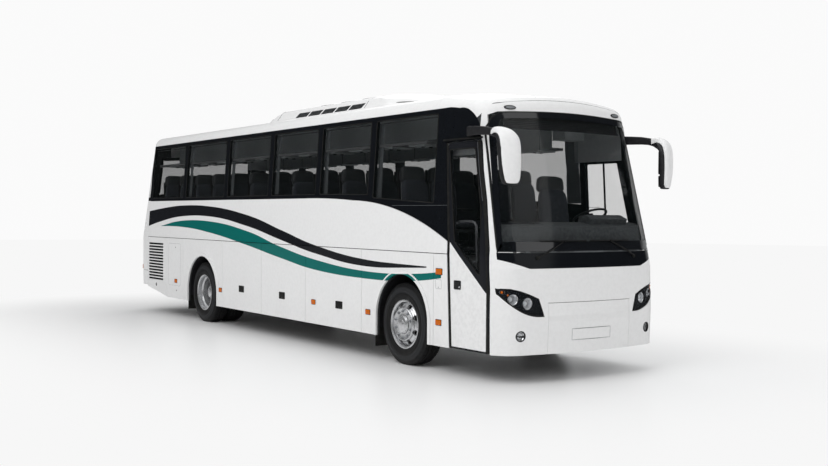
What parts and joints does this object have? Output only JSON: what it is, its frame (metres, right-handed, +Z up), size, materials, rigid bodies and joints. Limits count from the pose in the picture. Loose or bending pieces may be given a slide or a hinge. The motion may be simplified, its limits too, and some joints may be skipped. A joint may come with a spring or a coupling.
{
  "type": "coach bus",
  "caption": "Three-bay touring coach with a raked panoramic windshield, dark window band, roof cooling pod, swing-out entrance door, lifting luggage flaps and steered front wheels.",
  "frame": {"origin": "middle of the coach's footprint on the road, halfway along its length and on its centre line", "axes": "+X towards the windshield, +Y to the coach's left, +Z up from the road"},
  "size_m": [11.3388, 2.798, 3.5878],
  "materials": {
    "body_white": "gloss",
    "gloss_black": "gloss",
    "trim_black": "satin",
    "side_glass": "tinted",
    "screen_glass": "clear",
    "chassis_paint": "satin",
    "engine_iron": "cast",
    "tyre_rubber": "matte",
    "mudflap_rubber": "matte",
    "alloy": "polished",
    "lamp_chrome": "polished",
    "lamp_red": "gloss",
    "lamp_amber": "gloss",
    "floor_grey": "matte",
    "seat_cloth": "woven",
    "rack_grey": "matte"
  },
  "bodies": {
    "coach": {"chassis_frame": "chassis_paint", "saloon_floor": "floor_grey", "luggage_hold": "chassis_paint", "wheel_housings": "trim_black", "mudflaps": "mudflap_rubber", "front_axle": "chassis_paint", "rear_axle": "chassis_paint", "engine_block": "engine_iron", "side_panels": "body_white", "window_frames": "gloss_black", "side_glass": "side_glass", "roof_shell": "body_white", "front_cap": "body_white", "front_bumper": "body_white", "windshield_cowl": "gloss_black", "windshield": "screen_glass", "rear_cap": "body_white", "rear_bumper": "body_white", "rear_window": "side_glass", "tail_lamps": "lamp_red", "headlamp_bowls": "gloss_black", "headlamp_lenses": "screen_glass", "lamp_units": "lamp_chrome", "mirror_arms": "trim_black", "mirror_heads": "body_white", "wipers": "trim_black", "roof_ac_unit": "body_white", "ac_louvres": "trim_black", "engine_grille": "trim_black", "passenger_seats": "seat_cloth", "driver_seat": "seat_cloth", "dashboard": "trim_black", "luggage_racks": "rack_grey", "marker_lamps": "lamp_amber"},
    "knuckle_right": {"knuckle_right": "chassis_paint"},
    "knuckle_left": {"knuckle_left": "chassis_paint"},
    "track_rod": {"track_rod": "chassis_paint"},
    "front_wheel_right": {"tyre_front_right": "tyre_rubber", "wheel_front_right": "alloy"},
    "front_wheel_left": {"tyre_front_left": "tyre_rubber", "wheel_front_left": "alloy"},
    "rear_wheels_right": {"tyres_rear_right": "tyre_rubber", "wheels_rear_right": "alloy"},
    "rear_wheels_left": {"tyres_rear_left": "tyre_rubber", "wheels_rear_left": "alloy"},
    "door_arms": {"door_arms": "trim_black"},
    "door_leaf": {"door_leaf": "body_white", "door_glass": "side_glass"},
    "engine_lid": {"engine_lid": "body_white"},
    "roof_hatch": {"roof_hatch": "body_white"},
    "steering_wheel": {"steering_wheel": "trim_black"},
    "luggage_flap_right_rear": {"luggage_flap_right_rear": "body_white"},
    "luggage_flap_right_middle": {"luggage_flap_right_middle": "body_white"},
    "luggage_flap_right_front": {"luggage_flap_right_front": "body_white"},
    "luggage_flap_left_rear": {"luggage_flap_left_rear": "body_white"},
    "luggage_flap_left_middle": {"luggage_flap_left_middle": "body_white"},
    "luggage_flap_left_front": {"luggage_flap_left_front": "body_white"}
  },
  "joints": [
    {"name": "steer_left", "type": "hinge", "parent": "coach", "child": "knuckle_left", "pos_m": [3.47, 1, 0.512], "axis": [0, 0, 1], "range_deg": [-40, 40]},
    {"name": "steer_right", "type": "hinge", "parent": "coach", "child": "knuckle_right", "pos_m": [3.47, -1, 0.512], "axis": [0, 0, 1], "range_deg": [-40, 40]},
    {"name": "track_rod_pivot", "type": "hinge", "parent": "knuckle_left", "child": "track_rod", "pos_m": [3.32, 1, 0.37], "axis": [0, 0, 1], "range_deg": [-40, 40]},
    {"name": "steering_wheel_turn", "type": "hinge", "parent": "coach", "child": "steering_wheel", "pos_m": [4.885, 0.6, 1.88], "axis": [-0.4384, 0, 0.8988], "range_deg": [-640, 640]},
    {"name": "front_wheel_right_spin", "type": "hinge", "parent": "knuckle_right", "child": "front_wheel_right", "pos_m": [3.47, -1.085, 0.512], "axis": [0, 1, 0], "continuous": true},
    {"name": "front_wheel_left_spin", "type": "hinge", "parent": "knuckle_left", "child": "front_wheel_left", "pos_m": [3.47, 1.085, 0.512], "axis": [0, 1, 0], "continuous": true},
    {"name": "rear_wheels_right_spin", "type": "hinge", "parent": "coach", "child": "rear_wheels_right", "pos_m": [-2.72, -1.085, 0.512], "axis": [0, 1, 0], "continuous": true},
    {"name": "rear_wheels_left_spin", "type": "hinge", "parent": "coach", "child": "rear_wheels_left", "pos_m": [-2.72, 1.085, 0.512], "axis": [0, 1, 0], "continuous": true},
    {"name": "door_arm_swing", "type": "hinge", "parent": "coach", "child": "door_arms", "pos_m": [4.9, -1.15, 1], "axis": [0, 0, 1], "range_deg": [0, 120]},
    {"name": "door_leaf_pivot", "type": "hinge", "parent": "door_arms", "child": "door_leaf", "pos_m": [4.52, -1.15, 1], "axis": [0, 0, -1], "range_deg": [0, 120]},
    {"name": "luggage_flap_right_rear_lift", "type": "hinge", "parent": "coach", "child": "luggage_flap_right_rear", "pos_m": [-1.115, -1.275, 1.427], "axis": [-1, 0, 0], "range_deg": [0, 88]},
    {"name": "luggage_flap_right_middle_lift", "type": "hinge", "parent": "coach", "child": "luggage_flap_right_middle", "pos_m": [0.315, -1.275, 1.427], "axis": [-1, 0, 0], "range_deg": [0, 88]},
    {"name": "luggage_flap_right_front_lift", "type": "hinge", "parent": "coach", "child": "luggage_flap_right_front", "pos_m": [1.785, -1.275, 1.427], "axis": [-1, 0, 0], "range_deg": [0, 88]},
    {"name": "luggage_flap_left_rear_lift", "type": "hinge", "parent": "coach", "child": "luggage_flap_left_rear", "pos_m": [-1.115, 1.275, 1.427], "axis": [1, 0, 0], "range_deg": [0, 88]},
    {"name": "luggage_flap_left_middle_lift", "type": "hinge", "parent": "coach", "child": "luggage_flap_left_middle", "pos_m": [0.315, 1.275, 1.427], "axis": [1, 0, 0], "range_deg": [0, 88]},
    {"name": "luggage_flap_left_front_lift", "type": "hinge", "parent": "coach", "child": "luggage_flap_left_front", "pos_m": [1.785, 1.275, 1.427], "axis": [1, 0, 0], "range_deg": [0, 88]},
    {"name": "engine_lid_lift", "type": "hinge", "parent": "coach", "child": "engine_lid", "pos_m": [-5.67, 0, 1.517], "axis": [0, 1, 0], "range_deg": [0, 80]},
    {"name": "roof_hatch_lift", "type": "hinge", "parent": "coach", "child": "roof_hatch", "pos_m": [-1.995, 0, 3.41], "axis": [0, 1, 0], "range_deg": [0, 40]}
  ],
  "couplings": [
    {"joint": "steer_right", "follows": "steer_left", "ratio": 1},
    {"joint": "track_rod_pivot", "follows": "steer_left", "ratio": -1},
    {"joint": "steering_wheel_turn", "follows": "steer_left", "ratio": 16},
    {"joint": "door_leaf_pivot", "follows": "door_arm_swing", "ratio": 1}
  ]
}
